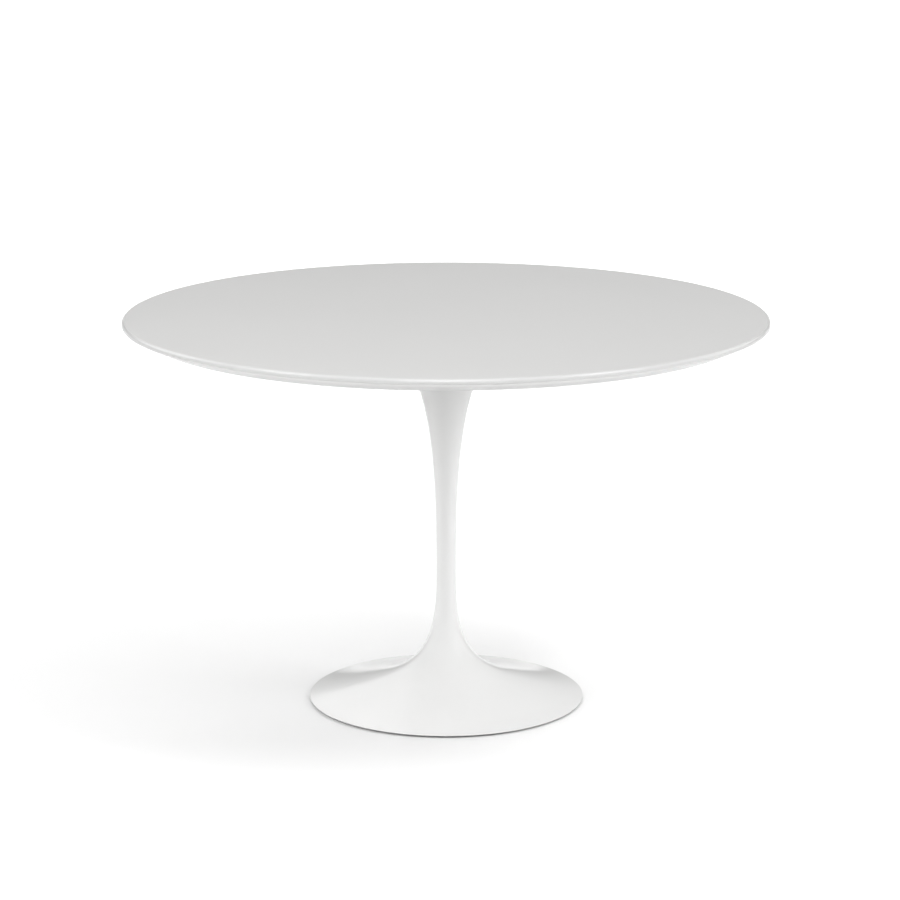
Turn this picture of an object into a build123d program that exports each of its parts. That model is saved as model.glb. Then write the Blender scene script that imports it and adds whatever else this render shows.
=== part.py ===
# Round pedestal table: a bevelled round top carried on one trumpet-shaped casting.
# Millimetres, +Z up, origin on the floor under the middle of the foot.
import os
from math import cos, radians, sin, tan

from build123d import *

os.makedirs("parts", exist_ok=True)

# Overall sizes
table_height = 740.0
top_diameter = 1200.0
foot_diameter = 520.0

# Laminated top, its edge routed to a rounded nose and a reverse bevel
face_thickness = 1.0
core_thickness = 26.7
backing_thickness = 0.8
nose_height = 9.5
nose_round = 7.0
nose_ease = 1.5
bevel_width = 42.0

# Pedestal casting: each pull says how far a direction carries along its flare
wall_thickness = 8.0
crown_diameter = 220.0
crown_lip = 3.0
crown_lean = 48.0
crown_pull = 105.0
crown_flange_width = 24.0
crown_flange_thickness = 10.0
waist_bottom = 222.0
waist_length = 63.0
waist_pull_up = 180.0
waist_pull_down = 138.0
foot_pull = 84.0
apron_width = 108.0
apron_lean_inside = 16.5
apron_lean_outside = 11.4
rim_lift = 3.5
rim_thickness = 2.0
clamp_seat_height = 95.0

# Glide ring let into the underside of the rim
glide_setback = 9.0
glide_width = 16.0
glide_inset = 0.8
glide_gap = 0.2
glide_ease = 1.0

# Mounting plate under the top
plate_overhang = 40.0
plate_thickness = 6.0
plate_ease = 1.5

# Hub welded into the plate
hub_diameter = 44.0
hub_length = 26.0
hub_spigot_diameter = 30.0
hub_ease = 2.0
weld_gap = 0.1

# Bolts, washers and inserts that hold the plate to the top
bolt_count = 8
bolt_diameter = 8.0
bolt_hole_clearance = 0.5
bolt_engagement = 12.0
bolt_head_flats = 13.0
bolt_head_height = 5.3
washer_diameter = 17.0
washer_thickness = 1.6
insert_diameter = 12.0
insert_length = 15.0

# Pins that key the plate to the crown
pin_count = 3
pin_diameter = 6.0
pin_depth = 8.0
pin_stand = 5.0
pin_gap = 0.05

# Tie rod, nuts and washers down the stem
rod_diameter = 16.0
rod_clearance = 2.5
rod_tail = 8.0
rod_set_down = 1.0
rod_ease = 1.5
nut_flats = 24.0
nut_height = 13.0
lock_nut_height = 8.0
nut_ease = 0.8
clamp_washer_diameter = 60.0
clamp_washer_thickness = 6.0
spring_washer_diameter = 27.0
spring_washer_thickness = 3.5
spring_washer_slit = 2.0
thread_gap = 0.1

# Heights of the main faces
face_bottom = table_height - face_thickness
core_bottom = face_bottom - core_thickness
underside = core_bottom - backing_thickness
crown_top = underside - plate_thickness
hub_bottom = crown_top - hub_length
washer_bottom = crown_top - washer_thickness
clamp_washer_bottom = clamp_seat_height - clamp_washer_thickness
spring_washer_bottom = clamp_washer_bottom - spring_washer_thickness
clamp_nut_bottom = spring_washer_bottom - nut_height
rod_bottom = clamp_nut_bottom - rod_tail
rod_top = underside - rod_set_down
rim_top = rim_lift + rim_thickness
glide_top = rim_lift + glide_inset
waist_top = waist_bottom + waist_length
apron_fall_inside = apron_width * tan(radians(apron_lean_inside))
apron_fall_outside = apron_width * tan(radians(apron_lean_outside))
apron_top = rim_top + (apron_fall_inside + apron_fall_outside) / 2

# Radii that several pieces share
top_radius = top_diameter / 2
foot_radius = foot_diameter / 2
rim_radius = foot_radius - rim_thickness / 2
apron_radius = rim_radius - apron_width
crown_radius = crown_diameter / 2
plate_radius = crown_radius + plate_overhang
bolt_radius = bolt_diameter / 2
bolt_circle_radius = crown_radius + plate_overhang / 2
insert_radius = insert_diameter / 2
pin_radius = pin_diameter / 2
pin_circle_radius = crown_radius - crown_flange_width / 2
rod_radius = rod_diameter / 2
thread_radius = rod_radius + thread_gap
bore_radius = rod_radius + rod_clearance
waist_radius = bore_radius + wall_thickness
glide_outer = foot_radius - glide_setback
glide_inner = glide_outer - glide_width

# Points sampled along a flare to carry the wall's inner face
wall_samples = 8


def inner_wall(flare):
    # The flare moved inwards by the wall: its inside is on the right hand of its travel
    points = []
    for sample in range(wall_samples + 1):
        share = sample / wall_samples
        travel = flare % share
        inward = Vector(travel.Y, -travel.X)
        points.append(flare @ share + inward * wall_thickness)
    return points


# The whole top as it leaves the router: three bonded layers, cut round the edge together
with BuildPart() as top_blank:
    with BuildSketch(Plane.XZ):
        with BuildLine():
            Polyline(
                (0, underside),
                (top_radius - bevel_width, underside),
                (top_radius, table_height - nose_height),
                (top_radius, table_height),
                (0, table_height),
                close=True,
            )
        make_face()
    revolve(axis=Axis.Z)
    nose_edges = top_blank.edges().filter_by(GeomType.CIRCLE).sort_by(Edge.length)[-2:]
    fillet(nose_edges.sort_by(Axis.Z)[-1], nose_round)
    fillet(nose_edges.sort_by(Axis.Z)[0], nose_ease)

with BuildPart() as top_face_laminate:
    add(top_blank.part)
    split(bisect_by=Plane.XY.offset(face_bottom), keep=Keep.TOP)

with BuildPart() as top_core:
    add(top_blank.part)
    split(bisect_by=Plane.XY.offset(face_bottom), keep=Keep.BOTTOM)
    split(bisect_by=Plane.XY.offset(core_bottom), keep=Keep.TOP)
    with BuildSketch(Plane.XY.offset(core_bottom)):
        with PolarLocations(bolt_circle_radius, bolt_count):
            Circle(insert_radius + thread_gap)
    extrude(amount=insert_length - backing_thickness, mode=Mode.SUBTRACT)

with BuildPart() as top_backing_laminate:
    add(top_blank.part)
    split(bisect_by=Plane.XY.offset(core_bottom), keep=Keep.BOTTOM)
    with BuildSketch(Plane.XY.offset(underside)):
        with PolarLocations(bolt_circle_radius, bolt_count):
            Circle(insert_radius + thread_gap)
    extrude(amount=backing_thickness, mode=Mode.SUBTRACT)

# Inserts flush with the underside, open right through
with BuildPart() as threaded_inserts:
    with BuildSketch(Plane.XY.offset(underside)):
        with PolarLocations(bolt_circle_radius, bolt_count):
            Circle(insert_radius)
            Circle(bolt_radius + thread_gap, mode=Mode.SUBTRACT)
    extrude(amount=insert_length)

# Plate with a hole for the hub's spigot, the bolts and the pins
with BuildPart() as mounting_plate:
    with BuildSketch(Plane.XY.offset(crown_top)):
        Circle(plate_radius)
        Circle(hub_spigot_diameter / 2 + weld_gap, mode=Mode.SUBTRACT)
        with PolarLocations(bolt_circle_radius, bolt_count):
            Circle(bolt_radius + bolt_hole_clearance, mode=Mode.SUBTRACT)
        with PolarLocations(pin_circle_radius, pin_count):
            Circle(pin_radius + pin_gap, mode=Mode.SUBTRACT)
    extrude(amount=plate_thickness)
    plate_edges = mounting_plate.edges().filter_by(GeomType.CIRCLE).sort_by(Edge.length)
    chamfer(plate_edges[-2:].sort_by(Axis.Z)[0], plate_ease)

# Hub: a boss under the plate with a spigot up through it, threaded for the rod
with BuildPart() as plate_hub:
    with BuildSketch(Plane.XY.offset(hub_bottom)):
        Circle(hub_diameter / 2)
    extrude(amount=hub_length)
    chamfer(plate_hub.edges().group_by(Axis.Z)[0], hub_ease)
    with BuildSketch(Plane.XY.offset(crown_top)):
        Circle(hub_spigot_diameter / 2)
    extrude(amount=plate_thickness)
    with Locations((0, 0, underside)):
        Hole(thread_radius)

with BuildPart() as plate_washers:
    with BuildSketch(Plane.XY.offset(washer_bottom)):
        with PolarLocations(bolt_circle_radius, bolt_count):
            Circle(washer_diameter / 2)
            Circle(bolt_radius + bolt_hole_clearance, mode=Mode.SUBTRACT)
    extrude(amount=washer_thickness)

# Bolts driven up from below: a six-sided head under the washer, a shank into the insert
with BuildPart() as plate_bolts:
    with BuildSketch(Plane.XY.offset(washer_bottom - bolt_head_height)):
        with PolarLocations(bolt_circle_radius, bolt_count):
            RegularPolygon(bolt_head_flats / 2, 6, major_radius=False)
    extrude(amount=bolt_head_height)
    with BuildSketch(Plane.XY.offset(washer_bottom)):
        with PolarLocations(bolt_circle_radius, bolt_count):
            Circle(bolt_radius)
    extrude(amount=washer_thickness + plate_thickness + bolt_engagement)

with BuildPart() as crown_pins:
    with BuildSketch(Plane.XY.offset(crown_top - pin_depth)):
        with PolarLocations(pin_circle_radius, pin_count):
            Circle(pin_radius)
    extrude(amount=pin_depth + pin_stand)

# Pedestal: outline drawn from the crown down to the waist, out along the foot and its apron to the rim
with BuildPart() as pedestal:
    with BuildSketch(Plane.XZ):
        with BuildLine():
            crown_flare = Bezier(
                (crown_radius, crown_top - crown_lip),
                (
                    crown_radius - crown_pull * sin(radians(crown_lean)),
                    crown_top - crown_lip - crown_pull * cos(radians(crown_lean)),
                ),
                (waist_radius, waist_top + waist_pull_up),
                (waist_radius, waist_top),
            )
            Line((waist_radius, waist_top), (waist_radius, waist_bottom))
            foot_flare = Bezier(
                (waist_radius, waist_bottom),
                (waist_radius, waist_bottom - waist_pull_down),
                (
                    apron_radius - foot_pull * cos(radians(apron_lean_inside)),
                    apron_top + foot_pull * sin(radians(apron_lean_inside)),
                ),
                (apron_radius, apron_top),
            )
            apron = Bezier(
                (apron_radius, apron_top),
                (apron_radius + apron_width / 3, apron_top - apron_fall_inside / 3),
                (rim_radius - apron_width / 3, rim_top + apron_fall_outside / 3),
                (rim_radius, rim_top),
            )
            ThreePointArc(
                (rim_radius, rim_top),
                (foot_radius, (rim_top + rim_lift) / 2),
                (rim_radius, rim_lift),
            )
            Polyline(
                (rim_radius, rim_lift),
                (0, rim_lift),
                (0, crown_top),
                (crown_radius, crown_top),
                (crown_radius, crown_top - crown_lip),
            )
        make_face()
    revolve(axis=Axis.Z)

    # Hollow foot, open underneath, up to the flat seat for the clamp washer
    with BuildSketch(Plane.XZ):
        with BuildLine():
            foot_inside = Spline(*inner_wall(foot_flare), *inner_wall(apron)[1:])
            Polyline(
                foot_inside @ 1,
                (0, (foot_inside @ 1).Y),
                (0, waist_bottom),
                foot_inside @ 0,
            )
        make_face()
        with Locations((0, clamp_seat_height)):
            Rectangle(foot_diameter, table_height, align=(Align.CENTER, Align.MIN), mode=Mode.SUBTRACT)
    revolve(axis=Axis.Z, mode=Mode.SUBTRACT)

    # Hollow crown under its flange, running down into the rod's bore
    with BuildSketch(Plane.XZ):
        with BuildLine():
            crown_inside = Spline(*inner_wall(crown_flare))
            Polyline(
                crown_inside @ 1,
                (bore_radius, clamp_seat_height),
                (0, clamp_seat_height),
                (0, (crown_inside @ 0).Y),
                crown_inside @ 0,
            )
        make_face()
        with Locations((0, crown_top - crown_flange_thickness)):
            Rectangle(crown_diameter, table_height, align=(Align.CENTER, Align.MIN), mode=Mode.SUBTRACT)
    revolve(axis=Axis.Z, mode=Mode.SUBTRACT)
    with BuildSketch(Plane.XY.offset(crown_top)):
        Circle(crown_radius - crown_flange_width)
    extrude(amount=-crown_flange_thickness, mode=Mode.SUBTRACT)

    # Holes for the pins, and the groove for the glide ring
    with BuildSketch(Plane.XY.offset(crown_top)):
        with PolarLocations(pin_circle_radius, pin_count):
            Circle(pin_radius + pin_gap)
    extrude(amount=-pin_depth, mode=Mode.SUBTRACT)
    with BuildSketch(Plane.XY.offset(rim_lift)):
        Circle(glide_outer + glide_gap)
        Circle(glide_inner - glide_gap, mode=Mode.SUBTRACT)
    extrude(amount=glide_inset, mode=Mode.SUBTRACT)

with BuildPart() as glide_ring:
    with BuildSketch():
        Circle(glide_outer)
        Circle(glide_inner, mode=Mode.SUBTRACT)
    extrude(amount=glide_top)
    chamfer(glide_ring.edges().group_by(Axis.Z)[0], glide_ease)

with BuildPart() as tie_rod:
    with BuildSketch(Plane.XY.offset(rod_bottom)):
        Circle(rod_radius)
    extrude(amount=rod_top - rod_bottom)
    chamfer(tie_rod.edges().filter_by(GeomType.CIRCLE), rod_ease)

with BuildPart() as hub_lock_nut:
    with BuildSketch(Plane.XY.offset(hub_bottom)):
        RegularPolygon(nut_flats / 2, 6, major_radius=False)
        Circle(thread_radius, mode=Mode.SUBTRACT)
    extrude(amount=-lock_nut_height)
    chamfer(hub_lock_nut.edges().filter_by(GeomType.CIRCLE), nut_ease)

with BuildPart() as clamp_washer:
    with BuildSketch(Plane.XY.offset(clamp_washer_bottom)):
        Circle(clamp_washer_diameter / 2)
        Circle(thread_radius, mode=Mode.SUBTRACT)
    extrude(amount=clamp_washer_thickness)

# Split washer, cut through on one side
with BuildPart() as spring_washer:
    with BuildSketch(Plane.XY.offset(spring_washer_bottom)):
        Circle(spring_washer_diameter / 2)
        Circle(thread_radius, mode=Mode.SUBTRACT)
        Rectangle(
            spring_washer_diameter,
            spring_washer_slit,
            align=(Align.MIN, Align.CENTER),
            mode=Mode.SUBTRACT,
        )
    extrude(amount=spring_washer_thickness)

with BuildPart() as clamp_nut:
    with BuildSketch(Plane.XY.offset(clamp_nut_bottom)):
        RegularPolygon(nut_flats / 2, 6, major_radius=False)
        Circle(thread_radius, mode=Mode.SUBTRACT)
    extrude(amount=nut_height)
    chamfer(clamp_nut.edges().filter_by(GeomType.CIRCLE), nut_ease)

pieces = {
    "top_face_laminate": top_face_laminate,
    "top_core": top_core,
    "top_backing_laminate": top_backing_laminate,
    "threaded_inserts": threaded_inserts,
    "mounting_plate": mounting_plate,
    "plate_hub": plate_hub,
    "plate_washers": plate_washers,
    "plate_bolts": plate_bolts,
    "crown_pins": crown_pins,
    "pedestal": pedestal,
    "glide_ring": glide_ring,
    "tie_rod": tie_rod,
    "hub_lock_nut": hub_lock_nut,
    "clamp_washer": clamp_washer,
    "spring_washer": spring_washer,
    "clamp_nut": clamp_nut,
}
for name, piece in pieces.items():
    piece.part.label = name
    export_step(piece.part, f"parts/{name}.step")
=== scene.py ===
import math

import bmesh
import bpy
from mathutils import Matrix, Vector


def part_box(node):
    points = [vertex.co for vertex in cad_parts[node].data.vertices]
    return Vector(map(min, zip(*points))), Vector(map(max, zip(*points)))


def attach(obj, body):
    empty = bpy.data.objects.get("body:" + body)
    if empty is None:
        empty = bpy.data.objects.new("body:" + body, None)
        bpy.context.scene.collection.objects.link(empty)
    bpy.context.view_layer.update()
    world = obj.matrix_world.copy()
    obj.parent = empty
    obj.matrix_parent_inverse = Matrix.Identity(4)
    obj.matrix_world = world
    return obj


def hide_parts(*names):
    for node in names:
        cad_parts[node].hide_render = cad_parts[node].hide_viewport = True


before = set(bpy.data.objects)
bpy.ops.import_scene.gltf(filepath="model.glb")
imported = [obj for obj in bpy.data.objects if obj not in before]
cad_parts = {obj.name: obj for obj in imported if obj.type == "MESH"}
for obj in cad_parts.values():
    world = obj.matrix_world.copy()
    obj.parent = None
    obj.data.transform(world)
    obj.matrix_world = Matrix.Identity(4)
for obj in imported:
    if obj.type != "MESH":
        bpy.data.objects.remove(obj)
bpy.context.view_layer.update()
scene = bpy.context.scene
scene.view_settings.view_transform = "Standard"
print("frame loaded:", len(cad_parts), "nodes")


# shader helpers: a group is built once, each material places it with its own values

def shaderGroup(name, inputs, outputs):
    group = bpy.data.node_groups.new(name, "ShaderNodeTree")
    for label, kind, value in inputs:
        socket = group.interface.new_socket(label, in_out="INPUT", socket_type=kind)
        if value is not None:
            socket.default_value = value
    for label, kind in outputs:
        group.interface.new_socket(label, in_out="OUTPUT", socket_type=kind)
    return group, group.nodes.new("NodeGroupInput"), group.nodes.new("NodeGroupOutput")


def noiseNode(nodes, detail, roughness):
    noise = nodes.new("ShaderNodeTexNoise")
    noise.inputs["Detail"].default_value = detail
    noise.inputs["Roughness"].default_value = roughness
    return noise


# distance from a speck's middle at which it starts to show, and at which it is full
speckStart, speckFull = 0.16, 0.05


# fine skin of a sprayed or pressed surface: close texture, slow mottle and sparse specks
def surfaceSkinGroup():
    group, source, result = shaderGroup(
        "surfaceSkin",
        [
            ("Vector", "NodeSocketVector", None),
            ("Grain Scale", "NodeSocketFloat", 900.0),
            ("Mottle Scale", "NodeSocketFloat", 6.0),
            ("Speck Scale", "NodeSocketFloat", 160.0),
        ],
        [("Grain", "NodeSocketFloat"), ("Mottle", "NodeSocketFloat"), ("Speck", "NodeSocketFloat")],
    )
    nodes, links = group.nodes, group.links
    grain = noiseNode(nodes, detail=2.0, roughness=0.5)
    mottle = noiseNode(nodes, detail=3.0, roughness=0.55)
    speck = nodes.new("ShaderNodeTexVoronoi")
    speckEdge = nodes.new("ShaderNodeMapRange")
    speckEdge.inputs["From Min"].default_value = speckStart
    speckEdge.inputs["From Max"].default_value = speckFull
    for node, label in ((grain, "Grain Scale"), (mottle, "Mottle Scale"), (speck, "Speck Scale")):
        links.new(source.outputs["Vector"], node.inputs["Vector"])
        links.new(source.outputs[label], node.inputs["Scale"])
    links.new(speck.outputs["Distance"], speckEdge.inputs["Value"])
    links.new(grain.outputs["Fac"], result.inputs["Grain"])
    links.new(mottle.outputs["Fac"], result.inputs["Mottle"])
    links.new(speckEdge.outputs["Result"], result.inputs["Speck"])
    return group


surfaceSkin = surfaceSkinGroup()


# one finish: two close tones mixed by the mottle, roughness between two values, grain as relief if it has any
def skinMaterial(name, look):
    material = bpy.data.materials.new(name)
    material.use_nodes = True
    nodes, links = material.node_tree.nodes, material.node_tree.links
    shader = nodes["Principled BSDF"]
    place = nodes.new("ShaderNodeTexCoord")
    skin = nodes.new("ShaderNodeGroup")
    skin.node_tree = surfaceSkin
    skin.inputs["Mottle Scale"].default_value = look["mottleScale"]
    skin.inputs["Speck Scale"].default_value = look["speckScale"]
    links.new(place.outputs["Object"], skin.inputs["Vector"])
    tone = nodes.new("ShaderNodeMix")
    tone.data_type = "RGBA"
    tone.inputs["A"].default_value = (*look["toneLow"], 1)
    tone.inputs["B"].default_value = (*look["toneHigh"], 1)
    links.new(skin.outputs["Mottle"], tone.inputs["Factor"])
    fleck = nodes.new("ShaderNodeMix")
    fleck.data_type = "RGBA"
    fleck.inputs["B"].default_value = (*look["fleck"], 1)
    fleckAmount = nodes.new("ShaderNodeMath")
    fleckAmount.operation = "MULTIPLY"
    fleckAmount.inputs[1].default_value = look["fleckAmount"]
    links.new(skin.outputs["Speck"], fleckAmount.inputs[0])
    links.new(fleckAmount.outputs["Value"], fleck.inputs["Factor"])
    links.new(tone.outputs["Result"], fleck.inputs["A"])
    links.new(fleck.outputs["Result"], shader.inputs["Base Color"])
    rough = nodes.new("ShaderNodeMapRange")
    rough.inputs["To Min"].default_value = look["roughLow"]
    rough.inputs["To Max"].default_value = look["roughHigh"]
    links.new(skin.outputs["Mottle"], rough.inputs["Value"])
    links.new(rough.outputs["Result"], shader.inputs["Roughness"])
    if "reliefStrength" in look:
        skin.inputs["Grain Scale"].default_value = look["grainScale"]
        bump = nodes.new("ShaderNodeBump")
        bump.inputs["Strength"].default_value = look["reliefStrength"]
        bump.inputs["Distance"].default_value = look["reliefDepth"]
        links.new(skin.outputs["Grain"], bump.inputs["Height"])
        links.new(bump.outputs["Normal"], shader.inputs["Normal"])
    shader.inputs["Metallic"].default_value = look.get("metallic", 0.0)
    shader.inputs["IOR"].default_value = look.get("ior", 1.5)
    return material


castingCoat = skinMaterial("castingCoat", {
    "toneLow": (0.845, 0.845, 0.84), "toneHigh": (0.865, 0.865, 0.86),
    "fleck": (0.7, 0.7, 0.69), "fleckAmount": 0.05, "speckScale": 60.0,
    "mottleScale": 9.0, "roughLow": 0.09, "roughHigh": 0.12,
})
topLaminate = skinMaterial("topLaminate", {
    "toneLow": (0.764, 0.762, 0.753), "toneHigh": (0.776, 0.774, 0.765),
    "fleck": (0.73, 0.725, 0.71), "fleckAmount": 0.05, "speckScale": 220.0,
    "mottleScale": 4.0, "roughLow": 0.33, "roughHigh": 0.36,
})
edgeLacquer = skinMaterial("edgeLacquer", {
    "toneLow": (0.845, 0.845, 0.838), "toneHigh": (0.862, 0.862, 0.856),
    "fleck": (0.72, 0.72, 0.71), "fleckAmount": 0.05, "speckScale": 90.0,
    "mottleScale": 12.0, "roughLow": 0.2, "roughHigh": 0.24, "ior": 1.65,
})
backingSheet = skinMaterial("backingSheet", {
    "toneLow": (0.74, 0.74, 0.73), "toneHigh": (0.77, 0.77, 0.76),
    "fleck": (0.62, 0.62, 0.61), "fleckAmount": 0.2, "speckScale": 300.0,
    "grainScale": 1100.0, "mottleScale": 5.0,
    "roughLow": 0.55, "roughHigh": 0.65, "reliefStrength": 0.2, "reliefDepth": 0.0002,
})
plateCoat = skinMaterial("plateCoat", {
    "toneLow": (0.018, 0.018, 0.019), "toneHigh": (0.026, 0.026, 0.027),
    "fleck": (0.05, 0.05, 0.05), "fleckAmount": 0.3, "speckScale": 500.0,
    "grainScale": 1300.0, "mottleScale": 20.0,
    "roughLow": 0.5, "roughHigh": 0.62, "reliefStrength": 0.5, "reliefDepth": 0.0004,
})
zincPlate = skinMaterial("zincPlate", {
    "toneLow": (0.56, 0.57, 0.585), "toneHigh": (0.68, 0.685, 0.69),
    "fleck": (0.4, 0.4, 0.41), "fleckAmount": 0.25, "speckScale": 700.0,
    "grainScale": 2200.0, "mottleScale": 90.0, "metallic": 1.0,
    "roughLow": 0.26, "roughHigh": 0.42, "reliefStrength": 0.15, "reliefDepth": 0.0001,
})
glidePlastic = skinMaterial("glidePlastic", {
    "toneLow": (0.11, 0.11, 0.11), "toneHigh": (0.13, 0.13, 0.13),
    "fleck": (0.17, 0.17, 0.17), "fleckAmount": 0.2, "speckScale": 400.0,
    "grainScale": 900.0, "mottleScale": 25.0,
    "roughLow": 0.5, "roughHigh": 0.65, "reliefStrength": 0.3, "reliefDepth": 0.0003,
})
print("finishes made")


# geometry node helpers

def geometryTree(name, inputs):
    tree = bpy.data.node_groups.new(name, "GeometryNodeTree")
    tree.interface.new_socket("Geometry", in_out="OUTPUT", socket_type="NodeSocketGeometry")
    for label, kind, value in inputs:
        socket = tree.interface.new_socket(label, in_out="INPUT", socket_type=kind)
        if value is not None:
            socket.default_value = value
    return tree, tree.nodes.new("NodeGroupInput"), tree.nodes.new("NodeGroupOutput")


# last two nodes of a tree that makes a piece: real geometry, then its finish
def closeTree(tree, geometry, source, result):
    realize = tree.nodes.new("GeometryNodeRealizeInstances")
    finish = tree.nodes.new("GeometryNodeSetMaterial")
    tree.links.new(geometry, realize.inputs["Geometry"])
    tree.links.new(realize.outputs["Geometry"], finish.inputs["Geometry"])
    tree.links.new(source.outputs["Finish"], finish.inputs["Material"])
    tree.links.new(finish.outputs["Geometry"], result.inputs["Geometry"])


# points closer than this are one after the sweep
weldDistance = 0.000002


# a profile curve swept round a thin spindle on the Z axis, as on a lathe
def latheTree():
    tree, source, result = geometryTree("turnedOnLathe", [
        ("Profile", "NodeSocketObject", None),
        ("Segments", "NodeSocketInt", 192),
        ("Spindle", "NodeSocketFloat", 0.0001),
        ("Finish", "NodeSocketMaterial", None),
    ])
    nodes, links = tree.nodes, tree.links
    profile = nodes.new("GeometryNodeObjectInfo")
    circle = nodes.new("GeometryNodeCurvePrimitiveCircle")
    upright = nodes.new("GeometryNodeSetCurveNormal")
    upright.mode = "Z_UP"
    sweep = nodes.new("GeometryNodeCurveToMesh")
    weld = nodes.new("GeometryNodeMergeByDistance")
    weld.inputs["Distance"].default_value = weldDistance
    links.new(source.outputs["Profile"], profile.inputs["Object"])
    links.new(source.outputs["Segments"], circle.inputs["Resolution"])
    links.new(source.outputs["Spindle"], circle.inputs["Radius"])
    links.new(circle.outputs["Curve"], upright.inputs["Curve"])
    links.new(upright.outputs["Curve"], sweep.inputs["Curve"])
    links.new(profile.outputs["Geometry"], sweep.inputs["Profile Curve"])
    links.new(sweep.outputs["Mesh"], weld.inputs["Geometry"])
    closeTree(tree, weld.outputs["Geometry"], source, result)
    return tree


lathe = latheTree()
spindle = lathe.interface.items_tree["Spindle"].default_value


# run a tree on an empty object, keep its result as a plain mesh
def growPiece(name, tree, values):
    piece = bpy.data.objects.new(name, bpy.data.meshes.new(name))
    scene.collection.objects.link(piece)
    modifier = piece.modifiers.new("shape", "NODES")
    modifier.node_group = tree
    for item in tree.interface.items_tree:
        if item.in_out == "INPUT" and item.name in values:
            modifier[item.identifier] = values[item.name]
    depsgraph = bpy.context.evaluated_depsgraph_get()
    mesh = bpy.data.meshes.new_from_object(piece.evaluated_get(depsgraph))
    piece.modifiers.remove(modifier)
    piece.data = mesh
    mesh.name = name
    return piece


def tidyFaces(piece, sharpDegrees):
    work = bmesh.new()
    work.from_mesh(piece.data)
    bmesh.ops.recalc_face_normals(work, faces=work.faces)
    work.to_mesh(piece.data)
    work.free()
    piece.data.shade_smooth()
    piece.data.set_sharp_from_angle(angle=math.radians(sharpDegrees))


def settle(piece, node):
    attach(piece, "root")
    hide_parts(node)


# closed outline in (radius, height) as a curve for the lathe; the sweep takes the curve's y downwards
def profileCurve(name, outline):
    curve = bpy.data.curves.new(name + "Profile", "CURVE")
    curve.dimensions = "2D"
    spline = curve.splines.new("POLY")
    spline.points.add(len(outline) - 1)
    for point, (radius, height) in zip(spline.points, outline):
        point.co = (radius - spindle, -height, 0, 1)
    spline.use_cyclic_u = True
    holder = bpy.data.objects.new(name + "Profile", curve)
    scene.collection.objects.link(holder)
    return holder


# an edge of a turned piece that bends by more than this stays sharp
turnedSharpDegrees = 30


def turnPiece(name, outline, material, segments):
    holder = profileCurve(name, outline)
    piece = growPiece(name, lathe, {"Profile": holder, "Segments": segments, "Finish": material})
    bpy.data.objects.remove(holder)
    tidyFaces(piece, turnedSharpDegrees)
    return piece


def bezierRun(start, pullStart, pullEnd, end, steps):
    run = []
    for step in range(steps + 1):
        t = step / steps
        weights = ((1 - t) ** 3, 3 * t * (1 - t) ** 2, 3 * t * t * (1 - t), t ** 3)
        corners = (start, pullStart, pullEnd, end)
        run.append(tuple(sum(w * c[axis] for w, c in zip(weights, corners)) for axis in (0, 1)))
    return run


def arcRun(centre, radius, fromDegrees, toDegrees, steps):
    run = []
    for step in range(steps + 1):
        angle = math.radians(fromDegrees + (toDegrees - fromDegrees) * step / steps)
        run.append((centre[0] + radius * math.cos(angle), centre[1] + radius * math.sin(angle)))
    return run


# pedestal

pedestalShape = {
    "waistRadius": 0.0185, "waistBottom": 0.222, "waistLength": 0.063,
    "waistPullUp": 0.18, "waistPullDown": 0.138,
    "crownRadius": 0.11, "crownLip": 0.003, "crownLean": 48.0, "crownPull": 0.105,
    "footPull": 0.084, "apronWidth": 0.108, "apronLeanInside": 16.5, "apronLeanOutside": 11.4,
    "rimThickness": 0.002,
    "wall": 0.008, "seatHeight": 0.095, "flangeWidth": 0.024, "flangeThickness": 0.01,
    "flareSteps": 64, "insideSteps": 28, "rimSteps": 10, "segments": 224,
}


def insetRun(run, depth):
    inner = []
    for index in range(len(run)):
        before, after = run[max(index - 1, 0)], run[min(index + 1, len(run) - 1)]
        travel = Vector((after[0] - before[0], after[1] - before[1])).normalized()
        inner.append((run[index][0] + travel.y * depth, run[index][1] - travel.x * depth))
    return inner


def crossing(run, height):
    for (r0, z0), (r1, z1) in zip(run, run[1:]):
        if (z0 - height) * (z1 - height) <= 0 and z0 != z1:
            return (r0 + (r1 - r0) * (height - z0) / (z1 - z0), height)


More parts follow.
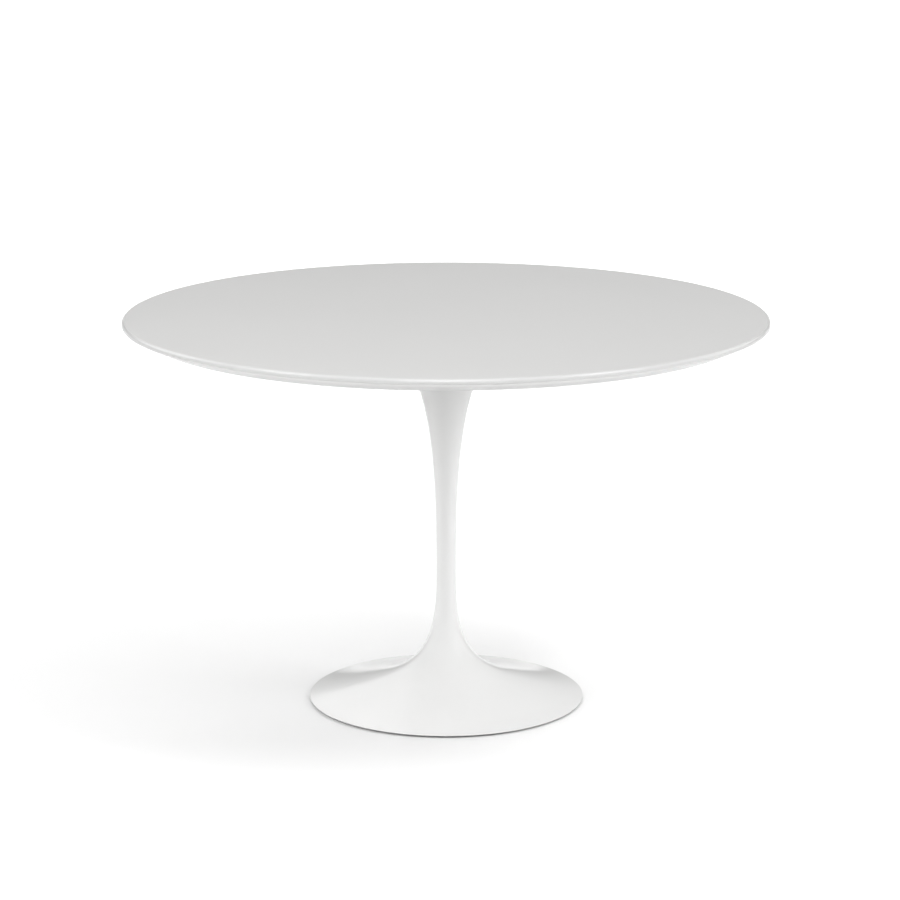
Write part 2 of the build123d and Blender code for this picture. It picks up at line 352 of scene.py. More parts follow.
def pedestalOutline(shape):
    low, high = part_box("pedestal")
    footRadius = (high.x - low.x) / 2
    rimRadius = footRadius - shape["rimThickness"] / 2
    rimTop = low.z + shape["rimThickness"]
    lipBottom = high.z - shape["crownLip"]
    waistTop = shape["waistBottom"] + shape["waistLength"]
    lean = math.radians(shape["crownLean"])
    leanIn, leanOut = math.radians(shape["apronLeanInside"]), math.radians(shape["apronLeanOutside"])
    third = shape["apronWidth"] / 3
    apronRadius = rimRadius - shape["apronWidth"]
    apronTop = rimTop + shape["apronWidth"] * (math.tan(leanIn) + math.tan(leanOut)) / 2
    crownFlare = (
        (shape["crownRadius"], lipBottom),
        (shape["crownRadius"] - shape["crownPull"] * math.sin(lean),
         lipBottom - shape["crownPull"] * math.cos(lean)),
        (shape["waistRadius"], waistTop + shape["waistPullUp"]),
        (shape["waistRadius"], waistTop),
    )
    footFlare = (
        (shape["waistRadius"], shape["waistBottom"]),
        (shape["waistRadius"], shape["waistBottom"] - shape["waistPullDown"]),
        (apronRadius - shape["footPull"] * math.cos(leanIn), apronTop + shape["footPull"] * math.sin(leanIn)),
        (apronRadius, apronTop),
    )
    apron = (
        (apronRadius, apronTop),
        (apronRadius + third, apronTop - third * math.tan(leanIn)),
        (rimRadius - third, rimTop + third * math.tan(leanOut)),
        (rimRadius, rimTop),
    )
    flangeBottom = high.z - shape["flangeThickness"]
    crownInside = insetRun(bezierRun(*crownFlare, shape["insideSteps"]), shape["wall"])
    footRun = bezierRun(*footFlare, shape["insideSteps"]) + bezierRun(*apron, shape["insideSteps"])[1:]
    footInside = insetRun(footRun, shape["wall"])
    boreRadius = shape["waistRadius"] - shape["wall"]
    openingRadius = shape["crownRadius"] - shape["flangeWidth"]

    outline = [(shape["crownRadius"], high.z)]
    outline += bezierRun(*crownFlare, shape["flareSteps"])
    outline += bezierRun(*footFlare, shape["flareSteps"])
    outline += bezierRun(*apron, shape["flareSteps"])[1:]
    rimMiddle = (rimRadius, (rimTop + low.z) / 2)
    outline += arcRun(rimMiddle, shape["rimThickness"] / 2, 90, -90, shape["rimSteps"])[1:]
    outline.append(crossing(footInside, low.z))
    outline += [p for p in reversed(footInside) if low.z < p[1] < shape["seatHeight"]]
    outline.append(crossing(footInside, shape["seatHeight"]))
    outline.append((boreRadius, shape["seatHeight"]))
    outline += [p for p in reversed(crownInside) if p[1] < flangeBottom]
    outline.append(crossing(crownInside, flangeBottom))
    outline += [(openingRadius, flangeBottom), (openingRadius, high.z)]
    return outline


pedestalCasting = turnPiece(
    "pedestalCasting", pedestalOutline(pedestalShape), castingCoat, pedestalShape["segments"])
settle(pedestalCasting, "pedestal")
print("pedestal turned:", len(pedestalCasting.data.polygons), "faces")


# table top, three layers with one routed edge

topShape = {
    "noseHeight": 0.0095, "noseRound": 0.007, "noseEase": 0.0015, "bevelWidth": 0.042,
    "roundSteps": 18, "easeSteps": 8, "segments": 384, "sameHeight": 1e-7,
}


# routed edge from the top face round the nose and in along the bevel
def routedEdge(shape, radius, faceHeight, underHeight):
    noseFoot = faceHeight - shape["noseHeight"]
    slope = math.atan2(noseFoot - underHeight, shape["bevelWidth"])
    edge = arcRun((radius - shape["noseRound"], faceHeight - shape["noseRound"]), shape["noseRound"],
                  90, 0, shape["roundSteps"])
    turnAngle = math.pi / 2 - slope
    setBack = shape["noseEase"] * math.tan(turnAngle / 2)
    edge += arcRun((radius - shape["noseEase"], noseFoot + setBack), shape["noseEase"],
                   0, -math.degrees(turnAngle), shape["easeSteps"])
    edge.append((radius - shape["bevelWidth"], underHeight))
    return edge


# the stretch of the routed edge between two heights, closed to the axis
def layerOutline(edge, bottom, top, sameHeight):
    upper = crossing(edge, top) or edge[0]
    lower = crossing(edge, bottom) or edge[-1]
    kept = [p for p in edge if bottom + sameHeight < p[1] < top - sameHeight]
    return [(0, bottom), (0, top), upper] + kept + [lower]


faceLow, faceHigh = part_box("top_face_laminate")
coreLow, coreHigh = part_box("top_core")
backingLow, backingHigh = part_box("top_backing_laminate")
topEdge = routedEdge(topShape, (coreHigh.x - coreLow.x) / 2, faceHigh.z, backingLow.z)
for layerName, bottom, top, material, slotName, node in (
    ("topFace", faceLow.z, faceHigh.z, topLaminate, "top_face", "top_face_laminate"),
    ("topBoard", coreLow.z, coreHigh.z, edgeLacquer, "top_edge", "top_core"),
    ("topBacking", backingLow.z, backingHigh.z, backingSheet, "top_backing", "top_backing_laminate"),
):
    layerEdge = layerOutline(topEdge, bottom, top, topShape["sameHeight"])
    layer = turnPiece(layerName, layerEdge, material, topShape["segments"])
    settle(layer, node)
print("top layers turned")


# fasteners under the top and inside the foot

def linkMath(tree, operation, first, second=None):
    node = tree.nodes.new("ShaderNodeMath")
    node.operation = operation
    for socket, value in zip(node.inputs, (first, second)):
        if isinstance(value, (int, float)):
            socket.default_value = value
        elif value is not None:
            tree.links.new(value, socket)
    return node.outputs["Value"]


def linkVector(tree, x=0.0, y=0.0, z=0.0):
    node = tree.nodes.new("ShaderNodeCombineXYZ")
    for socket, value in zip(node.inputs, (x, y, z)):
        if isinstance(value, (int, float)):
            socket.default_value = value
        else:
            tree.links.new(value, socket)
    return node.outputs["Vector"]


def moveBy(tree, geometry, offset, turnX=0.0):
    node = tree.nodes.new("GeometryNodeTransform")
    node.inputs["Rotation"].default_value = (turnX, 0, 0)
    tree.links.new(geometry, node.inputs["Geometry"])
    tree.links.new(offset, node.inputs["Translation"])
    return node.outputs["Geometry"]


def solidPair(tree, operation, first, second):
    node = tree.nodes.new("GeometryNodeMeshBoolean")
    node.operation = operation
    node.solver = "EXACT"
    if operation == "DIFFERENCE":
        tree.links.new(first, node.inputs["Mesh 1"])
    else:
        tree.links.new(first, node.inputs["Mesh 2"])
    tree.links.new(second, node.inputs["Mesh 2"])
    return node.outputs["Mesh"]


barSides = {"hexagon": 6, "cone": 96, "bolt": 32, "bore": 64, "rod": 48, "thread": 40}


def roundBar(tree, radius, length, sides):
    node = tree.nodes.new("GeometryNodeMeshCylinder")
    node.inputs["Vertices"].default_value = sides
    tree.links.new(radius, node.inputs["Radius"])
    tree.links.new(length, node.inputs["Depth"])
    return node.outputs["Mesh"]


# the cone passes the block's ends by a share of its height; its radius grows with height as 30 degrees ask
coneOverrun, coneSpread = 0.2, math.sqrt(3)


# hexagon block standing on z = 0, its corners taken back by a 30 degree cone at one or both ends
def hexBlockTree():
    tree, source, result = geometryTree("hexBlock", [
        ("Flats", "NodeSocketFloat", 0.013),
        ("Height", "NodeSocketFloat", 0.005),
        ("Face Share", "NodeSocketFloat", 0.94),
        ("Both Ends", "NodeSocketBool", False),
    ])
    flats, height = source.outputs["Flats"], source.outputs["Height"]
    half = linkMath(tree, "MULTIPLY", height, 0.5)
    cornerRadius = linkMath(tree, "MULTIPLY", flats, 1 / math.sqrt(3))
    prism = moveBy(tree, roundBar(tree, cornerRadius, height, barSides["hexagon"]), linkVector(tree, z=half))
    halfFlats = linkMath(tree, "MULTIPLY", flats, 0.5)
    faceRadius = linkMath(tree, "MULTIPLY", halfFlats, source.outputs["Face Share"])
    cone = tree.nodes.new("GeometryNodeMeshCone")
    cone.inputs["Vertices"].default_value = barSides["cone"]
    overrun = linkMath(tree, "MULTIPLY", height, coneOverrun)
    narrowing = linkMath(tree, "MULTIPLY", overrun, coneSpread)
    widening = linkMath(tree, "MULTIPLY", height, (1 + coneOverrun) * coneSpread)
    tree.links.new(linkMath(tree, "SUBTRACT", faceRadius, narrowing), cone.inputs["Radius Bottom"])
    tree.links.new(linkMath(tree, "ADD", faceRadius, widening), cone.inputs["Radius Top"])
    tree.links.new(linkMath(tree, "MULTIPLY", height, 1 + 2 * coneOverrun), cone.inputs["Depth"])
    below = linkVector(tree, z=linkMath(tree, "MULTIPLY", overrun, -1.0))
    above = linkVector(tree, z=linkMath(tree, "ADD", height, overrun))
    lower = moveBy(tree, cone.outputs["Mesh"], below)
    upper = moveBy(tree, cone.outputs["Mesh"], above, math.pi)
    oneEnd = solidPair(tree, "INTERSECT", prism, lower)
    bothEnds = solidPair(tree, "INTERSECT", oneEnd, upper)
    choose = tree.nodes.new("GeometryNodeSwitch")
    tree.links.new(source.outputs["Both Ends"], choose.inputs["Switch"])
    tree.links.new(oneEnd, choose.inputs["False"])
    tree.links.new(bothEnds, choose.inputs["True"])
    tree.links.new(choose.outputs["Output"], result.inputs["Geometry"])
    return tree


hexBlock = hexBlockTree()


def hexBlockNode(tree, source, bothEnds):
    node = tree.nodes.new("GeometryNodeGroup")
    node.node_tree = hexBlock
    for label in ("Flats", "Height", "Face Share"):
        tree.links.new(source.outputs[label], node.inputs[label])
    node.inputs["Both Ends"].default_value = bothEnds
    return node.outputs["Geometry"]


# copies of one part standing round a circle, each turned to face outwards
def ringOfCopies(tree, part, count, radius, height):
    circle = tree.nodes.new("GeometryNodeMeshCircle")
    index = tree.nodes.new("GeometryNodeInputIndex")
    copies = tree.nodes.new("GeometryNodeInstanceOnPoints")
    tree.links.new(count, circle.inputs["Vertices"])
    tree.links.new(radius, circle.inputs["Radius"])
    bearing = linkMath(tree, "DIVIDE", linkMath(tree, "MULTIPLY", index.outputs["Index"], math.tau), count)
    tree.links.new(moveBy(tree, circle.outputs["Mesh"], linkVector(tree, z=height)), copies.inputs["Points"])
    tree.links.new(part, copies.inputs["Instance"])
    tree.links.new(linkVector(tree, z=bearing), copies.inputs["Rotation"])
    return copies.outputs["Instances"]


def boltRingTree():
    tree, source, result = geometryTree("boltRing", [
        ("Count", "NodeSocketInt", 8),
        ("Circle Radius", "NodeSocketFloat", 0.13),
        ("Seat", "NodeSocketFloat", 0.0),
        ("Flats", "NodeSocketFloat", 0.013),
        ("Height", "NodeSocketFloat", 0.005),
        ("Face Share", "NodeSocketFloat", 0.94),
        ("Shank Radius", "NodeSocketFloat", 0.004),
        ("Shank Length", "NodeSocketFloat", 0.02),
        ("Finish", "NodeSocketMaterial", None),
    ])
    length, height = source.outputs["Shank Length"], source.outputs["Height"]
    rise = linkMath(tree, "ADD", height, linkMath(tree, "MULTIPLY", length, 0.5))
    bar = roundBar(tree, source.outputs["Shank Radius"], length, barSides["bolt"])
    shank = moveBy(tree, bar, linkVector(tree, z=rise))
    bolt = tree.nodes.new("GeometryNodeJoinGeometry")
    tree.links.new(hexBlockNode(tree, source, False), bolt.inputs["Geometry"])
    tree.links.new(shank, bolt.inputs["Geometry"])
    ring = ringOfCopies(tree, bolt.outputs["Geometry"], source.outputs["Count"],
                        source.outputs["Circle Radius"], source.outputs["Seat"])
    closeTree(tree, ring, source, result)
    return tree


# one washer turned on the lathe, then copied round the circle
def washerRingTree():
    tree, source, result = geometryTree("washerRing", [
        ("Count", "NodeSocketInt", 8),
        ("Circle Radius", "NodeSocketFloat", 0.13),
        ("Profile", "NodeSocketObject", None),
        ("Segments", "NodeSocketInt", 48),
        ("Finish", "NodeSocketMaterial", None),
    ])
    washer = tree.nodes.new("GeometryNodeGroup")
    washer.node_tree = lathe
    for label in ("Profile", "Segments", "Finish"):
        tree.links.new(source.outputs[label], washer.inputs[label])
    ring = ringOfCopies(tree, washer.outputs["Geometry"], source.outputs["Count"],
                        source.outputs["Circle Radius"], 0.0)
    closeTree(tree, ring, source, result)
    return tree


def hexNutTree():
    tree, source, result = geometryTree("hexNut", [
        ("Base", "NodeSocketFloat", 0.0),
        ("Flats", "NodeSocketFloat", 0.024),
        ("Height", "NodeSocketFloat", 0.013),
        ("Face Share", "NodeSocketFloat", 0.95),
        ("Bore", "NodeSocketFloat", 0.0081),
        ("Finish", "NodeSocketMaterial", None),
    ])
    height = source.outputs["Height"]
    drill = roundBar(tree, source.outputs["Bore"], linkMath(tree, "MULTIPLY", height, 2.0), barSides["bore"])
    bore = moveBy(tree, drill, linkVector(tree, z=linkMath(tree, "MULTIPLY", height, 0.5)))
    nut = solidPair(tree, "DIFFERENCE", hexBlockNode(tree, source, True), bore)
    closeTree(tree, moveBy(tree, nut, linkVector(tree, z=source.outputs["Base"])), source, result)
    return tree


# over 1, so that the thread's crests are flat
crestBlunting = 1.15


# screw thread: a fine cylinder whose radius follows the turn of the helix, run out at both ends
def threadTree():
    tree, source, result = geometryTree("screwThread", [
        ("Crest", "NodeSocketFloat", 0.00795),
        ("Depth", "NodeSocketFloat", 0.00123),
        ("Pitch", "NodeSocketFloat", 0.002),
        ("Length", "NodeSocketFloat", 0.034),
        ("Base", "NodeSocketFloat", 0.0),
        ("Lead In", "NodeSocketFloat", 0.0015),
        ("Rings", "NodeSocketInt", 160),
    ])
    length = source.outputs["Length"]
    bar = tree.nodes.new("GeometryNodeMeshCylinder")
    bar.inputs["Vertices"].default_value = barSides["thread"]
    bar.inputs["Radius"].default_value = 1.0
    tree.links.new(source.outputs["Rings"], bar.inputs["Side Segments"])
    tree.links.new(length, bar.inputs["Depth"])
    position = tree.nodes.new("GeometryNodeInputPosition")
    parts = tree.nodes.new("ShaderNodeSeparateXYZ")
    tree.links.new(position.outputs["Position"], parts.inputs["Vector"])
    x, y, z = (parts.outputs[axis] for axis in "XYZ")
    bearing = linkMath(tree, "DIVIDE", linkMath(tree, "ARCTAN2", y, x), math.tau)
    turns = linkMath(tree, "DIVIDE", z, source.outputs["Pitch"])
    phase = linkMath(tree, "FRACT", linkMath(tree, "SUBTRACT", turns, bearing))
    wave = linkMath(tree, "ABSOLUTE", linkMath(tree, "SUBTRACT", linkMath(tree, "MULTIPLY", phase, 2.0), 1.0))
    blunt = linkMath(tree, "MINIMUM", linkMath(tree, "MULTIPLY", wave, crestBlunting), 1.0)
    root = linkMath(tree, "SUBTRACT", source.outputs["Crest"], source.outputs["Depth"])
    helix = linkMath(tree, "ADD", root, linkMath(tree, "MULTIPLY", blunt, source.outputs["Depth"]))
    toEnd = linkMath(tree, "SUBTRACT", linkMath(tree, "MULTIPLY", length, 0.5), linkMath(tree, "ABSOLUTE", z))
    taper = linkMath(tree, "MAXIMUM", linkMath(tree, "SUBTRACT", source.outputs["Lead In"], toEnd), 0.0)
    leadIn = linkMath(tree, "SUBTRACT", source.outputs["Crest"], taper)
    radius = linkMath(tree, "MINIMUM", helix, leadIn)
    shape = tree.nodes.new("GeometryNodeSetPosition")
    tree.links.new(bar.outputs["Mesh"], shape.inputs["Geometry"])
    wideX, wideY = linkMath(tree, "MULTIPLY", x, radius), linkMath(tree, "MULTIPLY", y, radius)
    tree.links.new(linkVector(tree, wideX, wideY, z), shape.inputs["Position"])
    middle = linkMath(tree, "ADD", source.outputs["Base"], linkMath(tree, "MULTIPLY", length, 0.5))
    placed = moveBy(tree, shape.outputs["Geometry"], linkVector(tree, z=middle))
    tree.links.new(placed, result.inputs["Geometry"])
    return tree


screwThread = threadTree()


# rod with a thread at each end of a plain shank
def threadedRodTree():
    tree, source, result = geometryTree("threadedRod", [
        ("Low", "NodeSocketFloat", 0.0),
        ("High", "NodeSocketFloat", 0.6),
        ("Thread Length", "NodeSocketFloat", 0.04),
        ("Shank Radius", "NodeSocketFloat", 0.0075),
        ("Finish", "NodeSocketMaterial", None),
    ])
    low, high, reach = source.outputs["Low"], source.outputs["High"], source.outputs["Thread Length"]
    shankLength = linkMath(tree, "SUBTRACT", linkMath(tree, "SUBTRACT", high, low), reach)
    middle = linkMath(tree, "MULTIPLY", linkMath(tree, "ADD", low, high), 0.5)
    rod = tree.nodes.new("GeometryNodeJoinGeometry")
    bar = roundBar(tree, source.outputs["Shank Radius"], shankLength, barSides["rod"])
    shank = moveBy(tree, bar, linkVector(tree, z=middle))
    tree.links.new(shank, rod.inputs["Geometry"])
    for base in (low, linkMath(tree, "SUBTRACT", high, reach)):
        thread = tree.nodes.new("GeometryNodeGroup")
        thread.node_tree = screwThread
        tree.links.new(reach, thread.inputs["Length"])
        tree.links.new(base, thread.inputs["Base"])
        tree.links.new(thread.outputs["Geometry"], rod.inputs["Geometry"])
    closeTree(tree, rod.outputs["Geometry"], source, result)
    return tree


def easedRing(inner, outer, low, high, ease):
    return [
        (inner, low + ease), (inner, high - ease), (inner + ease, high), (outer - ease, high),
        (outer, high - ease), (outer, low + ease), (outer - ease, low), (inner + ease, low),
    ]


boltShape = {
    "count": 8, "circleRadius": 0.13, "flats": 0.013, "faceShare": 0.94, "shankRadius": 0.004,
    "washerHole": 0.0045, "washerRadius": 0.0085, "washerEase": 0.00025, "washerSegments": 48,
    "sharpDegrees": 25,
}
boltLow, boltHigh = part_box("plate_bolts")
washerLow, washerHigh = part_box("plate_washers")
plateBolts = growPiece("plateBolts", boltRingTree(), {
    "Count": boltShape["count"], "Circle Radius": boltShape["circleRadius"], "Seat": boltLow.z,
    "Flats": boltShape["flats"], "Height": washerLow.z - boltLow.z, "Face Share": boltShape["faceShare"],
    "Shank Radius": boltShape["shankRadius"], "Shank Length": boltHigh.z - washerLow.z, "Finish": zincPlate,
})
tidyFaces(plateBolts, boltShape["sharpDegrees"])
settle(plateBolts, "plate_bolts")
washerProfile = profileCurve("plateWasher", easedRing(
    boltShape["washerHole"], boltShape["washerRadius"], washerLow.z, washerHigh.z, boltShape["washerEase"]))
plateWashers = growPiece("plateWashers", washerRingTree(), {
    "Count": boltShape["count"], "Circle Radius": boltShape["circleRadius"], "Profile": washerProfile,
    "Segments": boltShape["washerSegments"], "Finish": zincPlate,
})
bpy.data.objects.remove(washerProfile)
tidyFaces(plateWashers, turnedSharpDegrees)
settle(plateWashers, "plate_washers")
fastenerFaces = len(plateBolts.data.polygons) + len(plateWashers.data.polygons)
print("plate bolts and washers set:", fastenerFaces, "faces")

rodShape = {
    "threadLength": 0.042, "shankRadius": 0.0075, "sharpDegrees": 35,
    "nutFlats": 0.024, "nutFaceShare": 0.95, "nutBore": 0.0081, "nutSharpDegrees": 25,
}
rodLow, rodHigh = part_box("tie_rod")
tieRod = growPiece("tieRod", threadedRodTree(), {
    "Low": rodLow.z, "High": rodHigh.z, "Thread Length": rodShape["threadLength"],
    "Shank Radius": rodShape["shankRadius"], "Finish": zincPlate,
})
tidyFaces(tieRod, rodShape["sharpDegrees"])
settle(tieRod, "tie_rod")
hexNut = hexNutTree()
for nutName, node in (("clampNut", "clamp_nut"), ("hubLockNut", "hub_lock_nut")):
    nutLow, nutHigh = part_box(node)
    nut = growPiece(nutName, hexNut, {
        "Base": nutLow.z, "Height": nutHigh.z - nutLow.z, "Flats": rodShape["nutFlats"],
        "Face Share": rodShape["nutFaceShare"], "Bore": rodShape["nutBore"], "Finish": zincPlate,
    })
    tidyFaces(nut, rodShape["nutSharpDegrees"])
    settle(nut, node)
print("rod and nuts cut")

ringShape = {
    "clampHole": 0.0081, "clampEase": 0.0008, "clampSegments": 96,
    "glideWidth": 0.016, "glideEase": 0.001, "glideSegments": 256,
}
clampLow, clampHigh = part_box("clamp_washer")
clampOutline = easedRing(
    ringShape["clampHole"], clampHigh.x, clampLow.z, clampHigh.z, ringShape["clampEase"])
clampWasher = turnPiece("clampWasher", clampOutline, zincPlate, ringShape["clampSegments"])
settle(clampWasher, "clamp_washer")
glideLow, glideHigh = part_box("glide_ring")
glideOuter = (glideHigh.x - glideLow.x) / 2
glideOutline = easedRing(
    glideOuter - ringShape["glideWidth"], glideOuter, glideLow.z, glideHigh.z, ringShape["glideEase"])
glideRing = turnPiece("glideRing", glideOutline, glidePlastic, ringShape["glideSegments"])
settle(glideRing, "glide_ring")
print("glide ring and clamp washer turned")


# CAD pieces that stay as they are take a finish each
nodeFinish = {
    "threaded_inserts": zincPlate, "mounting_plate": plateCoat, "plate_hub": plateCoat,
    "crown_pins": zincPlate, "spring_washer": zincPlate,
}
for node, material in nodeFinish.items():
    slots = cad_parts[node].data.materials
    slots.clear()
    slots.append(material)
print("plain nodes finished")


# studio: white paper floor, soft even air, a dim room behind the table that only gloss shows

studio = {
    "floorSize": 200.0, "floorTone": 0.8, "floorBounce": 0.53,
    "floorGlow": 0.95, "glowFrom": 2.6, "glowTo": 8.0, "mirrorShare": 0.55, "airLevel": 0.3,
    "roomDistance": 60.0, "roomLeft": -100.0, "roomRight": 100.0, "roomTop": 60.0, "roomBlend": 2.5,
    "roomSteps": 64,
    # levels seen in reflections, by degrees above the floor
    "roomTonesLeft": (
        (0.0, 0.76), (2.2, 0.76), (2.5, 0.0), (6.5, 0.02), (9.0, 0.12),
        (14.0, 0.1), (16.5, 0.45), (18.5, 0.96), (40.0, 0.82), (60.0, 0.65),
    ),
    "roomTonesRight": (
        (0.0, 0.79), (0.8, 0.79), (1.1, 0.02), (4.5, 0.15), (8.0, 0.26),
        (11.0, 0.36), (14.0, 0.5), (18.0, 0.4), (30.0, 0.33), (60.0, 0.22),
    ),
}


# one for the camera, a share for mirrors and glass, nothing for light that falls on the table
def seenShare(nodes, links, mirrorShare):
    ray = nodes.new("ShaderNodeLightPath")
    mirrored = nodes.new("ShaderNodeMath")
    mirrored.operation = "MAXIMUM"
    shared = nodes.new("ShaderNodeMath")
    shared.operation = "MULTIPLY"
    shared.inputs[1].default_value = mirrorShare
    seen = nodes.new("ShaderNodeMath")
    seen.operation = "MAXIMUM"
    links.new(ray.outputs["Is Glossy Ray"], mirrored.inputs[0])
    links.new(ray.outputs["Is Transmission Ray"], mirrored.inputs[1])
    links.new(mirrored.outputs["Value"], shared.inputs[0])
    links.new(shared.outputs["Value"], seen.inputs[0])
    links.new(ray.outputs["Is Camera Ray"], seen.inputs[1])
    return seen.outputs["Value"]


# paper that clips to white round the table's own shadow; away from the table a glow keeps it white
def makeFloor(look):
    mesh = bpy.data.meshes.new("studioFloor")
    half = look["floorSize"] / 2
    corners = [(-half, -half, 0), (half, -half, 0), (half, half, 0), (-half, half, 0)]
    mesh.from_pydata(corners, [], [(0, 1, 2, 3)])
    floor = bpy.data.objects.new("studioFloor", mesh)
    scene.collection.objects.link(floor)
    material = bpy.data.materials.new("studioPaper")
    material.use_nodes = True
    nodes, links = material.node_tree.nodes, material.node_tree.links
    nodes.remove(nodes["Principled BSDF"])
    seen = seenShare(nodes, links, look["mirrorShare"])
    tone = nodes.new("ShaderNodeMapRange")
    tone.inputs["To Min"].default_value = look["floorBounce"]
    tone.inputs["To Max"].default_value = look["floorTone"]
    paper = nodes.new("ShaderNodeBsdfDiffuse")
    place = nodes.new("ShaderNodeTexCoord")
    reach = nodes.new("ShaderNodeVectorMath")
    reach.operation = "LENGTH"
    rise = nodes.new("ShaderNodeMapRange")
    rise.interpolation_type = "SMOOTHSTEP"
    rise.inputs["From Min"].default_value = look["glowFrom"]
    rise.inputs["From Max"].default_value = look["glowTo"]
    rise.inputs["To Max"].default_value = look["floorGlow"]
    lift = nodes.new("ShaderNodeMath")
    lift.operation = "MULTIPLY"
    glow = nodes.new("ShaderNodeEmission")
    join = nodes.new("ShaderNodeAddShader")
    links.new(seen, tone.inputs["Value"])
    links.new(tone.outputs["Result"], paper.inputs["Color"])
    links.new(place.outputs["Object"], reach.inputs[0])
    links.new(reach.outputs["Value"], rise.inputs["Value"])
    links.new(rise.outputs["Result"], lift.inputs[0])
    links.new(seen, lift.inputs[1])
    links.new(lift.outputs["Value"], glow.inputs["Strength"])
    links.new(paper.outputs["BSDF"], join.inputs[0])
    links.new(glow.outputs["Emission"], join.inputs[1])
    links.new(join.outputs["Shader"], nodes["Material Output"].inputs["Surface"])
    mesh.materials.append(material)
    return floor


def makeAir(look):
    world = bpy.data.worlds.new("studioAir")
    scene.world = world
    world.use_nodes = True
    nodes, links = world.node_tree.nodes, world.node_tree.links
    back = nodes["Background"]
    back.inputs["Color"].default_value = (1, 1, 1, 1)
    level = nodes.new("ShaderNodeMapRange")
    level.inputs["To Min"].default_value = look["airLevel"]
    level.inputs["To Max"].default_value = 1.0
    links.new(seenShare(nodes, links, 1.0), level.inputs["Value"])
    links.new(level.outputs["Result"], back.inputs["Strength"])


def toneRamp(nodes, links, height, tones, top):
    ramp = nodes.new("ShaderNodeValToRGB")
    while len(ramp.color_ramp.elements) < len(tones):
        ramp.color_ramp.elements.new(0.5)
    for stop, (degrees, level) in zip(ramp.color_ramp.elements, tones):
        stop.position = degrees / top
        stop.color = (level, level, level, 1)
    links.new(height, ramp.inputs["Fac"])
    return ramp.outputs["Color"]


# curved room wall far off behind the table; left and right halves differ as the photograph's reflections do
def makeRoom(look):
    steps = look["roomSteps"]
    verts, faces = [], []
    wallTop = look["roomDistance"] * math.tan(math.radians(look["roomTop"]))
    for step in range(steps + 1):
        bearing = math.radians(look["roomLeft"] + (look["roomRight"] - look["roomLeft"]) * step / steps)
        x, y = look["roomDistance"] * math.sin(bearing), look["roomDistance"] * math.cos(bearing)
        verts += [(x, y, 0), (x, y, wallTop)]
        if step:
            faces.append((2 * step - 2, 2 * step, 2 * step + 1, 2 * step - 1))
    mesh = bpy.data.meshes.new("studioRoom")
    mesh.from_pydata(verts, [], faces)
    room = bpy.data.objects.new("studioRoom", mesh)
    scene.collection.objects.link(room)
    material = bpy.data.materials.new("studioRoomPaint")
    material.use_nodes = True
    nodes, links = material.node_tree.nodes, material.node_tree.links
    nodes.remove(nodes["Principled BSDF"])
    where = nodes.new("ShaderNodeTexCoord")
    split = nodes.new("ShaderNodeSeparateXYZ")
    climb = nodes.new("ShaderNodeMath")
    climb.operation = "ARCTAN2"
    climb.inputs[1].default_value = look["roomDistance"]
    height = nodes.new("ShaderNodeMath")
    height.operation = "DIVIDE"
    height.inputs[1].default_value = math.radians(look["roomTop"])
    side = nodes.new("ShaderNodeMapRange")
    blend = look["roomDistance"] * math.sin(math.radians(look["roomBlend"]))
    side.inputs["From Min"].default_value = -blend
    side.inputs["From Max"].default_value = blend
    tone = nodes.new("ShaderNodeMix")
    tone.data_type = "RGBA"
    glow = nodes.new("ShaderNodeEmission")
    links.new(where.outputs["Object"], split.inputs["Vector"])
    links.new(split.outputs["Z"], climb.inputs[0])
    links.new(climb.outputs["Value"], height.inputs[0])
    links.new(split.outputs["X"], side.inputs["Value"])
    links.new(side.outputs["Result"], tone.inputs["Factor"])
    for label, tones in (("A", look["roomTonesLeft"]), ("B", look["roomTonesRight"])):
        shade = toneRamp(nodes, links, height.outputs["Value"], tones, look["roomTop"])
        links.new(shade, tone.inputs[label])
    links.new(tone.outputs["Result"], glow.inputs["Color"])
    links.new(glow.outputs["Emission"], nodes["Material Output"].inputs["Surface"])
    mesh.materials.append(material)
    room.visible_camera = False
    room.visible_diffuse = False
    room.visible_shadow = False


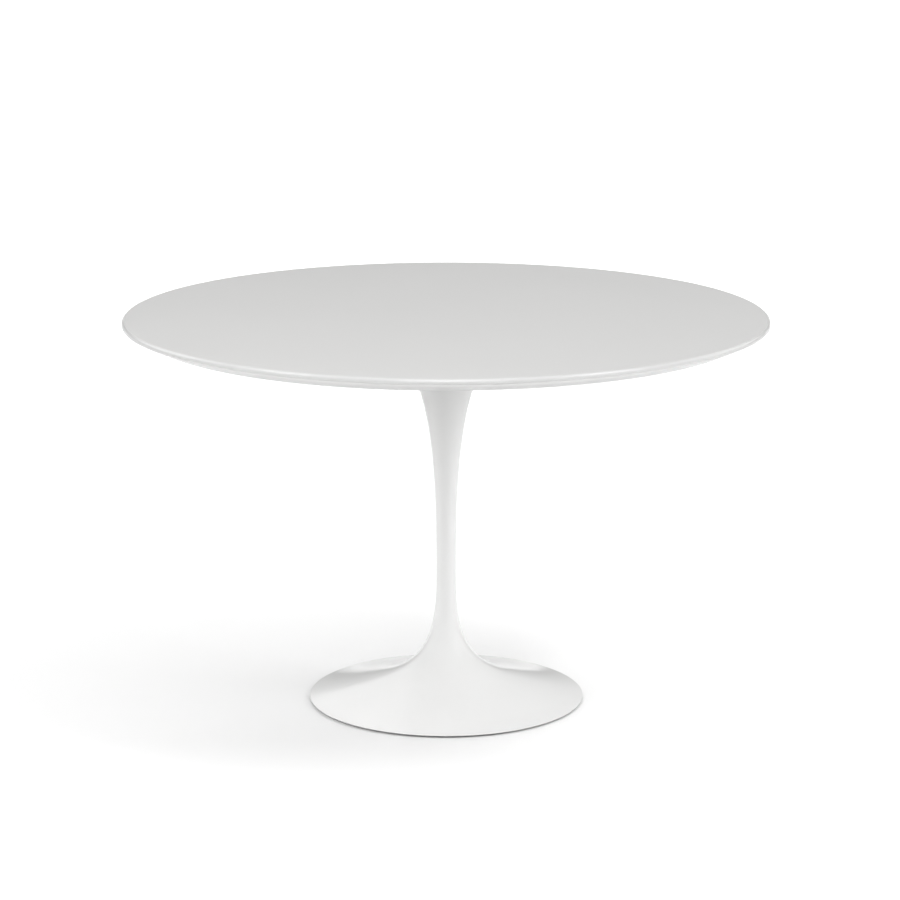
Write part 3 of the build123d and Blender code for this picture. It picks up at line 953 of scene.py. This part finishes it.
# stand lamps light all but the top, top lamps only the top, paper lamps only the floor with its shadow;
# lamps with gloss show in reflections, and all point at the aim
lampAim = Vector((0, 0, 0.4))
lamps = {
    "keyRight": {"lights": "stand", "at": (4.0, -1.6, 2.2), "size": 2.0, "power": 65.0},
    "frontLeft": {"lights": "stand", "at": (-1.9, -4.0, 2.6), "size": 2.0, "power": 68.0},
    "highRight": {"lights": "stand", "at": (3.2, -1.3, 4.0), "size": 2.0, "power": 28.0},
    "highLeft": {"lights": "stand", "at": (-3.2, -1.3, 4.0), "size": 2.0, "power": 42.0},
    "sideRight": {"lights": "stand", "at": (5.0, -0.5, 1.6), "size": 2.2, "power": 51.0},
    "sideLeft": {"lights": "stand", "at": (-5.0, -0.5, 1.6), "size": 2.2, "power": 64.0},
    "rearMiddle": {"lights": "stand", "at": (0.0, 4.5, 3.2), "size": 2.5, "power": 80.0},
    "topFront": {"lights": "top", "at": (0.0, -3.1, 3.7), "size": 2.0, "power": 57.0, "gloss": True},
    "topRight": {"lights": "top", "at": (3.2, -1.3, 4.0), "size": 2.0, "power": 48.0, "gloss": True},
    "topLeft": {"lights": "top", "at": (-3.2, -1.3, 4.0), "size": 2.0, "power": 42.0, "gloss": True},
    "topRear": {"lights": "top", "at": (0.0, 4.5, 3.2), "size": 2.5, "power": 30.0},
    "topRearRight": {"lights": "top", "at": (3.7, 2.1, 3.0), "size": 3.0, "power": 34.0, "gloss": True},
    "topRearLeft": {"lights": "top", "at": (-3.7, 2.1, 3.0), "size": 3.0, "power": 30.0, "gloss": True},
    "shadeRight": {"lights": "paper", "at": (5.13, -2.32, 10.0), "size": 4.3, "power": 392.0},
    "shadeAbove": {"lights": "paper", "at": (-0.26, 2.46, 10.0), "size": 14.2, "power": 571.0},
}


def lightGroup(name, pieces, state):
    group = bpy.data.collections.new(name)
    for piece in pieces:
        group.objects.link(piece)
    for member in group.collection_objects:
        member.light_linking.link_state = state
    return group


def hangLamps(looks, groups):
    for name, look in looks.items():
        lamp = bpy.data.lights.new(name, "AREA")
        lamp.shape = "DISK" if look["lights"] == "paper" else "SQUARE"
        lamp.size = look["size"]
        lamp.energy = look["power"]
        holder = bpy.data.objects.new(name, lamp)
        holder.location = look["at"]
        holder.rotation_euler = (lampAim - holder.location).to_track_quat("-Z", "Y").to_euler()
        holder.visible_glossy = look.get("gloss", False)
        holder.light_linking.receiver_collection = groups[look["lights"]]
        scene.collection.objects.link(holder)


studioFloor = makeFloor(studio)
makeAir(studio)
makeRoom(studio)
topPieces = [bpy.data.objects[name] for name in ("topFace", "topBoard", "topBacking")]
hangLamps(lamps, {
    "stand": lightGroup("allButTop", topPieces, "EXCLUDE"),
    "top": lightGroup("topOnly", topPieces, "INCLUDE"),
    "paper": lightGroup("paperOnly", [studioFloor], "INCLUDE"),
})
print("studio lit")


# camera of the photograph, level in roll, no shift
photoCamera = {"place": (0.0072, -5.6, 1.7614), "tilt": 77.127, "lens": 122.415, "sensor": 36.0, "reach": 200.0}
cameraData = bpy.data.cameras.new("photoCamera")
cameraData.lens = photoCamera["lens"]
cameraData.sensor_width = photoCamera["sensor"]
cameraData.clip_end = photoCamera["reach"]
camera = bpy.data.objects.new("photoCamera", cameraData)
camera.location = photoCamera["place"]
camera.rotation_euler = (math.radians(photoCamera["tilt"]), 0, 0)
scene.collection.objects.link(camera)
scene.camera = camera
print("camera set")
